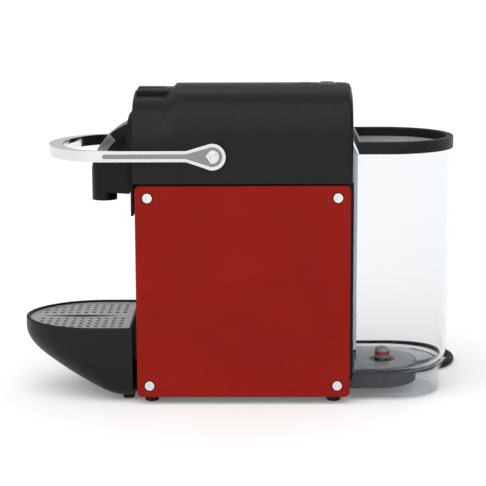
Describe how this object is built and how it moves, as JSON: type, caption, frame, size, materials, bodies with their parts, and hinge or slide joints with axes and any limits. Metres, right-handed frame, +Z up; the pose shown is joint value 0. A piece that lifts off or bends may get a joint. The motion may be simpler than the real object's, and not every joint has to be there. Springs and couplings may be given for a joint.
{
  "type": "pod coffee machine",
  "caption": "Compact pod coffee machine: rounded black head with a chrome loop lever over red side panels, a drip tray drawer in front and a clear lift-off water tank behind.",
  "frame": {"origin": "centre of the machine's outline on the surface it stands on, without its mains cord", "axes": "+Z up, +Y towards the water tank at the rear, -Y towards the drip tray and the user, +X to the machine's own left as it faces the user's right hand side"},
  "size_m": [0.1946, 0.3381, 0.2359],
  "materials": {
    "panel_red": "satin red paint with a fine diagonal texture",
    "shell_black": "satin black moulded plastic",
    "frame_black": "satin black moulded plastic",
    "control_black": "satin",
    "inner_black": "moulded",
    "inner_grey": "glass filled moulding",
    "shutter_black": "semi gloss",
    "outlet_black": "semi gloss",
    "button_black": "satin",
    "light_lens": "translucent lens",
    "trim_silver": "satin",
    "rubber_black": "soft",
    "chrome": "polished",
    "steel": "turned",
    "grille_steel": "satin",
    "cast_aluminium": "cast",
    "pump_steel": "plated",
    "tube_white": "silicone",
    "board_green": "laminate",
    "base_grey": "satin dark grey",
    "skirt_clear": "clear moulded plastic",
    "tank_clear": "clear moulded plastic",
    "strainer_red": "moulded",
    "cord_black": "smooth sheath",
    "plug_black": "moulded",
    "seal_silicone": "silicone",
    "tray_black": "satin",
    "bin_black": "satin",
    "lid_black": "satin",
    "lid_grey": "satin light grey"
  },
  "bodies": {
    "casing": {"base_plate": "inner_black", "side_frame_left": "inner_black", "side_frame_right": "inner_black", "rear_wall": "shell_black", "partition_wall": "inner_black", "side_panel_left": "panel_red", "side_panel_right": "panel_red", "panel_screws": "chrome", "top_shell": "shell_black", "front_frame": "frame_black", "control_panel": "control_black", "status_light": "light_lens", "rubber_feet": "rubber_black", "coffee_outlet": "outlet_black", "outlet_trim": "trim_silver", "brew_frame": "inner_grey", "guide_rods": "steel", "puncture_plate": "steel", "shaft_bushes": "inner_grey", "thermoblock": "cast_aluminium", "water_pump": "pump_steel", "pump_mounts": "rubber_black", "flow_meter": "inner_grey", "water_tubes": "tube_white", "control_board": "board_green", "switch_board": "board_green", "tank_base": "base_grey", "tank_connector": "rubber_black", "base_skirt": "skirt_clear", "cord_gland": "rubber_black", "mains_cord": "cord_black", "cord_coil": "cord_black", "mains_plug": "plug_black"},
    "lever": {"lever_handle": "chrome", "crank_left": "steel", "crank_right": "steel", "lever_screws": "chrome"},
    "links": {"toggle_link_left": "steel", "toggle_link_right": "steel"},
    "cage": {"capsule_cage": "inner_grey", "cage_seal": "seal_silicone"},
    "shutter": {"capsule_shutter": "shutter_black", "shutter_ridge": "shutter_black"},
    "brew_button": {"brew_button": "button_black"},
    "cup_button": {"cup_button": "button_black"},
    "drawer": {"drip_tray": "tray_black", "tray_foot": "rubber_black"},
    "grille": {"drip_grille": "grille_steel"},
    "bin": {"capsule_bin": "bin_black"},
    "tank": {"water_tank": "tank_clear", "tank_strainer": "strainer_red"},
    "valve": {"tank_valve": "inner_grey"},
    "lid": {"tank_lid": "lid_black", "lid_plate": "lid_grey"}
  },
  "joints": [
    {"name": "lever_hinge", "type": "hinge", "parent": "casing", "child": "lever", "pos_m": [0, -0.0174, 0.1864], "axis": [-1, 0, 0], "range_deg": [0, 100]},
    {"name": "link_pivot", "type": "hinge", "parent": "lever", "child": "links", "pos_m": [0, -0.03142, 0.19816], "axis": [-1, 0, 0], "range_deg": [-100, 0]},
    {"name": "cage_slide", "type": "slide", "parent": "casing", "child": "cage", "axis": [0, 1, 0], "range_m": [0, 0.028]},
    {"name": "shutter_slide", "type": "slide", "parent": "casing", "child": "shutter", "axis": [0, 1, 0], "range_m": [0, 0.028]},
    {"name": "brew_button_press", "type": "slide", "parent": "casing", "child": "brew_button", "axis": [0, 0, -1], "range_m": [0, 0.0015], "stiffness_N_per_m": 400},
    {"name": "cup_button_press", "type": "slide", "parent": "casing", "child": "cup_button", "axis": [0, 0, -1], "range_m": [0, 0.001], "stiffness_N_per_m": 400},
    {"name": "drawer_slide", "type": "slide", "parent": "casing", "child": "drawer", "axis": [0, -1, 0], "range_m": [0, 0.12]},
    {"name": "grille_lift", "type": "slide", "parent": "drawer", "child": "grille", "axis": [0, 0, 1], "range_m": [0, 0.06]},
    {"name": "bin_lift", "type": "slide", "parent": "drawer", "child": "bin", "axis": [0, 0, 1], "range_m": [0, 0.026]},
    {"name": "tank_lift", "type": "slide", "parent": "casing", "child": "tank", "axis": [0, 0, 1], "range_m": [0, 0.2]},
    {"name": "valve_plunger", "type": "slide", "parent": "tank", "child": "valve", "axis": [0, 0, 1], "range_m": [0, 0.002], "stiffness_N_per_m": 200},
    {"name": "lid_lift", "type": "slide", "parent": "tank", "child": "lid", "axis": [0, 0, 1], "range_m": [0, 0.05]}
  ],
  "couplings": [
    {"joint": "link_pivot", "follows": "lever_hinge", "ratio": -1},
    {"joint": "cage_slide", "follows": "lever_hinge", "m_per_rad": 0.016042},
    {"joint": "shutter_slide", "follows": "lever_hinge", "m_per_rad": 0.016042}
  ]
}
